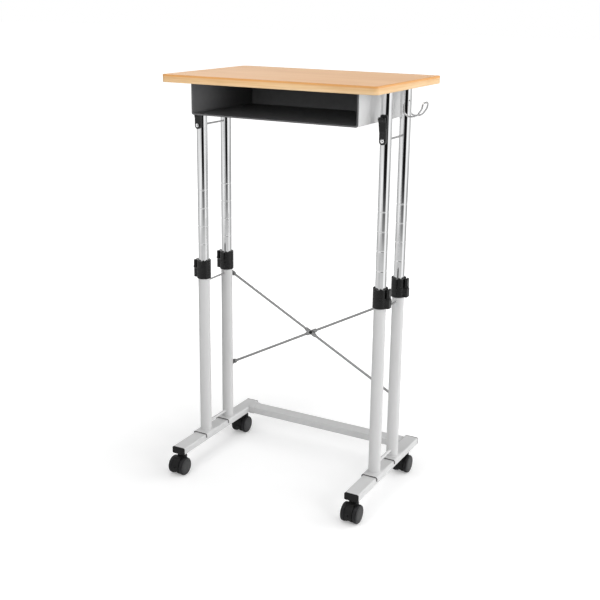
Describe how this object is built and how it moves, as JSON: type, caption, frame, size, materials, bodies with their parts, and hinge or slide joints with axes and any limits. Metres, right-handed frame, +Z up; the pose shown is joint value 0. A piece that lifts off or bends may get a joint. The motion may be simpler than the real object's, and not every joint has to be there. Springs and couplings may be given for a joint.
{
  "type": "standing desk",
  "caption": "Height-adjustable standing desk on swivel casters, with a wood-grain top, an open book tray, telescopic chrome legs with clamp collars and a crossed brace.",
  "frame": {"origin": "bottom centre of the overall box, on the floor", "axes": "+Z up, the open side of the tray faces -Y, +X to the user's right"},
  "size_m": [0.6216, 0.426, 1.1],
  "materials": {
    "wood_top": "satin wood-grain laminate, pinkish beige",
    "wood_edge": "satin wood-grain edge band, yellower than the top",
    "grey_paint": "light silver-grey powder coat",
    "black_liner": "matt black moulded liner",
    "chrome": "bright chrome plate",
    "zinc_steel": "zinc-plated steel",
    "black_bolt": "black oxide bolts",
    "black_plastic": "black moulded plastic, fine grain",
    "wheel_nylon": "black nylon wheels with a dark grey face"
  },
  "bodies": {
    "base": {"brace_centre_bolt": "black_bolt", "brace_end_bolts": "black_bolt", "brace_rods": "zinc_steel", "caster_sockets": "black_plastic", "collar_bl": "black_plastic", "collar_br": "black_plastic", "collar_fl": "black_plastic", "collar_fr": "black_plastic", "crossbar": "grey_paint", "crossbar_stubs": "grey_paint", "foot_end_caps": "black_plastic", "foot_left": "grey_paint", "foot_right": "grey_paint", "leg_saddles": "grey_paint", "lever_pins": "zinc_steel", "lower_ties": "grey_paint", "middle_ties": "zinc_steel", "outer_tube_bl": "grey_paint", "outer_tube_br": "grey_paint", "outer_tube_fl": "grey_paint", "outer_tube_fr": "grey_paint"},
    "upper": {"bag_hooks": "black_plastic", "edge_band": "wood_edge", "inner_tube_bl": "chrome", "inner_tube_br": "chrome", "inner_tube_fl": "chrome", "inner_tube_fr": "chrome", "leg_top_plates": "grey_paint", "slide_bushes": "black_plastic", "tie_cap_nuts": "chrome", "top_board": "wood_top", "top_screws": "zinc_steel", "tray_liner": "black_liner", "tray_shell": "grey_paint", "upper_ties": "zinc_steel", "wire_hook": "chrome"},
    "caster_bl": {"caster_axle_bl": "zinc_steel", "caster_hood_bl": "black_plastic", "caster_stem_bl": "zinc_steel"},
    "caster_br": {"caster_axle_br": "zinc_steel", "caster_hood_br": "black_plastic", "caster_stem_br": "zinc_steel"},
    "caster_fl": {"caster_axle_fl": "zinc_steel", "caster_hood_fl": "black_plastic", "caster_stem_fl": "zinc_steel"},
    "caster_fr": {"caster_axle_fr": "zinc_steel", "caster_hood_fr": "black_plastic", "caster_stem_fr": "zinc_steel"},
    "wheel_bl_left": {"caster_wheel_bl_left": "wheel_nylon"},
    "wheel_bl_right": {"caster_wheel_bl_right": "wheel_nylon"},
    "wheel_br_left": {"caster_wheel_br_left": "wheel_nylon"},
    "wheel_br_right": {"caster_wheel_br_right": "wheel_nylon"},
    "wheel_fl_left": {"caster_wheel_fl_left": "wheel_nylon"},
    "wheel_fl_right": {"caster_wheel_fl_right": "wheel_nylon"},
    "wheel_fr_left": {"caster_wheel_fr_left": "wheel_nylon"},
    "wheel_fr_right": {"caster_wheel_fr_right": "wheel_nylon"},
    "lever_bl_arm": {"lever_bl": "black_plastic"},
    "lever_br_arm": {"lever_br": "black_plastic"},
    "lever_fl_arm": {"lever_fl": "black_plastic"},
    "lever_fr_arm": {"lever_fr": "black_plastic"}
  },
  "joints": [
    {"name": "top_slide", "type": "slide", "parent": "base", "child": "upper", "axis": [0, 0, 1], "range_m": [-0.2, 0]},
    {"name": "lever_fl_swing", "type": "hinge", "parent": "base", "child": "lever_fl_arm", "pos_m": [-0.3014, -0.0505, 0.573], "axis": [0, 0, -1], "range_deg": [0, 110]},
    {"name": "lever_fr_swing", "type": "hinge", "parent": "base", "child": "lever_fr_arm", "pos_m": [0.2798, -0.0505, 0.573], "axis": [0, 0, 1], "range_deg": [0, 110]},
    {"name": "lever_bl_swing", "type": "hinge", "parent": "base", "child": "lever_bl_arm", "pos_m": [-0.3014, 0.0655, 0.573], "axis": [0, 0, -1], "range_deg": [0, 110]},
    {"name": "lever_br_swing", "type": "hinge", "parent": "base", "child": "lever_br_arm", "pos_m": [0.2798, 0.0655, 0.573], "axis": [0, 0, 1], "range_deg": [0, 110]},
    {"name": "caster_fl_swivel", "type": "hinge", "parent": "base", "child": "caster_fl", "pos_m": [-0.2778, -0.176, 0.05], "axis": [0, 0, 1], "continuous": true},
    {"name": "wheel_fl_left_spin", "type": "hinge", "parent": "caster_fl", "child": "wheel_fl_left", "pos_m": [-0.2778, -0.188, 0.025], "axis": [1, 0, 0], "continuous": true},
    {"name": "wheel_fl_right_spin", "type": "hinge", "parent": "caster_fl", "child": "wheel_fl_right", "pos_m": [-0.2778, -0.188, 0.025], "axis": [1, 0, 0], "continuous": true},
    {"name": "caster_fr_swivel", "type": "hinge", "parent": "base", "child": "caster_fr", "pos_m": [0.2562, -0.176, 0.05], "axis": [0, 0, 1], "continuous": true},
    {"name": "wheel_fr_left_spin", "type": "hinge", "parent": "caster_fr", "child": "wheel_fr_left", "pos_m": [0.2562, -0.188, 0.025], "axis": [1, 0, 0], "continuous": true},
    {"name": "wheel_fr_right_spin", "type": "hinge", "parent": "caster_fr", "child": "wheel_fr_right", "pos_m": [0.2562, -0.188, 0.025], "axis": [1, 0, 0], "continuous": true},
    {"name": "caster_bl_swivel", "type": "hinge", "parent": "base", "child": "caster_bl", "pos_m": [-0.2778, 0.151, 0.05], "axis": [0, 0, 1], "continuous": true},
    {"name": "wheel_bl_left_spin", "type": "hinge", "parent": "caster_bl", "child": "wheel_bl_left", "pos_m": [-0.2778, 0.139, 0.025], "axis": [1, 0, 0], "continuous": true},
    {"name": "wheel_bl_right_spin", "type": "hinge", "parent": "caster_bl", "child": "wheel_bl_right", "pos_m": [-0.2778, 0.139, 0.025], "axis": [1, 0, 0], "continuous": true},
    {"name": "caster_br_swivel", "type": "hinge", "parent": "base", "child": "caster_br", "pos_m": [0.2562, 0.151, 0.05], "axis": [0, 0, 1], "continuous": true},
    {"name": "wheel_br_left_spin", "type": "hinge", "parent": "caster_br", "child": "wheel_br_left", "pos_m": [0.2562, 0.139, 0.025], "axis": [1, 0, 0], "continuous": true},
    {"name": "wheel_br_right_spin", "type": "hinge", "parent": "caster_br", "child": "wheel_br_right", "pos_m": [0.2562, 0.139, 0.025], "axis": [1, 0, 0], "continuous": true}
  ]
}
